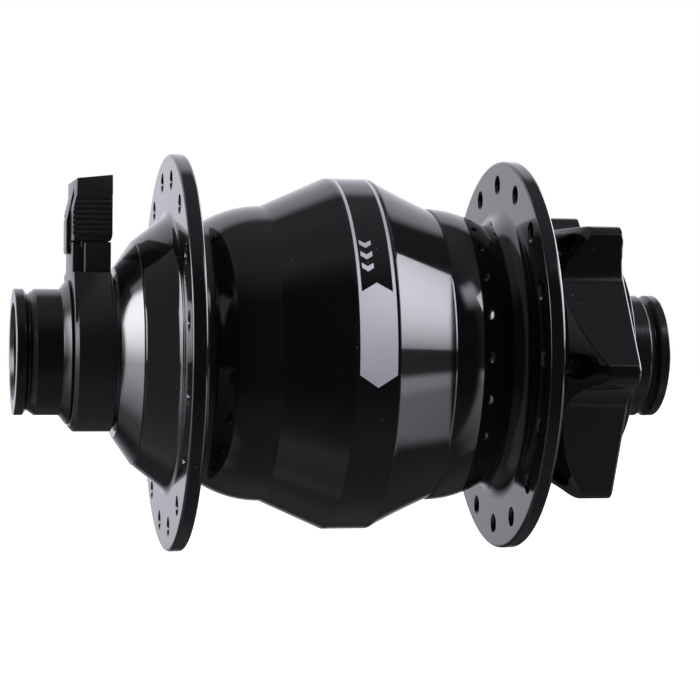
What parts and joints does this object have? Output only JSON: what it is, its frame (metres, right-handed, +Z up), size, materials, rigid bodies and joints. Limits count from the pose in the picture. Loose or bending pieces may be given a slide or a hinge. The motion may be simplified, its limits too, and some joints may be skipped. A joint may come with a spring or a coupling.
{
  "type": "generator wheel hub",
  "caption": "Front wheel hub with a built-in generator: black double-cone shell, drilled flanges, bolt-on rotor mount, end caps for a through axle and a pull-off lamp plug.",
  "frame": {"origin": "on the axle's centre line, midway between the two end faces", "axes": "+Y along the axle towards the brake rotor's side, +Z up through the lamp plug"},
  "size_m": [0.066, 0.11, 0.066],
  "materials": {
    "gloss_black_shell": "gloss black",
    "satin_black_cap": "satin black anodised",
    "axle_aluminium": "turned",
    "black_plastic": "fine matte",
    "black_rubber": "matte",
    "contact_brass": "plated",
    "wire_insulation": "smooth",
    "soft_iron": "plain",
    "bobbin_plastic": "moulded",
    "copper_winding": "enamelled",
    "plain_steel": "turned",
    "bearing_steel": "polished",
    "bearing_shield": "matte",
    "cage_plastic": "moulded",
    "magnet": "nickel plated"
  },
  "bodies": {
    "axle": {"axle_tube": "axle_aluminium", "left_end_cap": "satin_black_cap", "right_end_cap": "satin_black_cap", "end_cap_grip_rings": "black_rubber", "left_bearing_spacer": "plain_steel", "plug_base": "black_plastic", "contact_blades": "contact_brass", "lead_wires": "wire_insulation", "stator_core": "soft_iron", "left_claw_plate": "soft_iron", "right_claw_plate": "soft_iron", "coil_bobbin": "bobbin_plastic", "copper_coil": "copper_winding", "stator_nut": "plain_steel", "left_bearing_inner_ring": "bearing_steel", "right_bearing_inner_ring": "bearing_steel"},
    "shell": {"left_shell": "gloss_black_shell", "right_shell": "gloss_black_shell", "left_cover": "gloss_black_shell", "shell_seal_ring": "black_rubber", "magnet_yoke": "soft_iron", "magnets": "magnet", "left_bearing_outer_ring": "bearing_steel", "right_bearing_outer_ring": "bearing_steel", "left_bearing_shields": "bearing_shield", "right_bearing_shields": "bearing_shield", "left_dust_seal": "black_rubber", "right_dust_seal": "black_rubber"},
    "left_ball_set": {"left_bearing_balls": "bearing_steel", "left_bearing_cage": "cage_plastic"},
    "right_ball_set": {"right_bearing_balls": "bearing_steel", "right_bearing_cage": "cage_plastic"},
    "plug": {"plug_housing": "black_plastic", "plug_sleeves": "contact_brass"}
  },
  "joints": [
    {"name": "shell_spin", "type": "hinge", "parent": "axle", "child": "shell", "pos_m": [0, 0, 0], "axis": [0, 1, 0], "continuous": true},
    {"name": "left_balls_roll", "type": "hinge", "parent": "axle", "child": "left_ball_set", "pos_m": [0, 0, 0], "axis": [0, 1, 0], "continuous": true},
    {"name": "right_balls_roll", "type": "hinge", "parent": "axle", "child": "right_ball_set", "pos_m": [0, 0, 0], "axis": [0, 1, 0], "continuous": true},
    {"name": "plug_pull", "type": "slide", "parent": "axle", "child": "plug", "axis": [0, 0, 1], "range_m": [0, 0.014]}
  ],
  "couplings": [
    {"joint": "left_balls_roll", "follows": "shell_spin", "ratio": 0.5673},
    {"joint": "right_balls_roll", "follows": "shell_spin", "ratio": 0.5845}
  ]
}
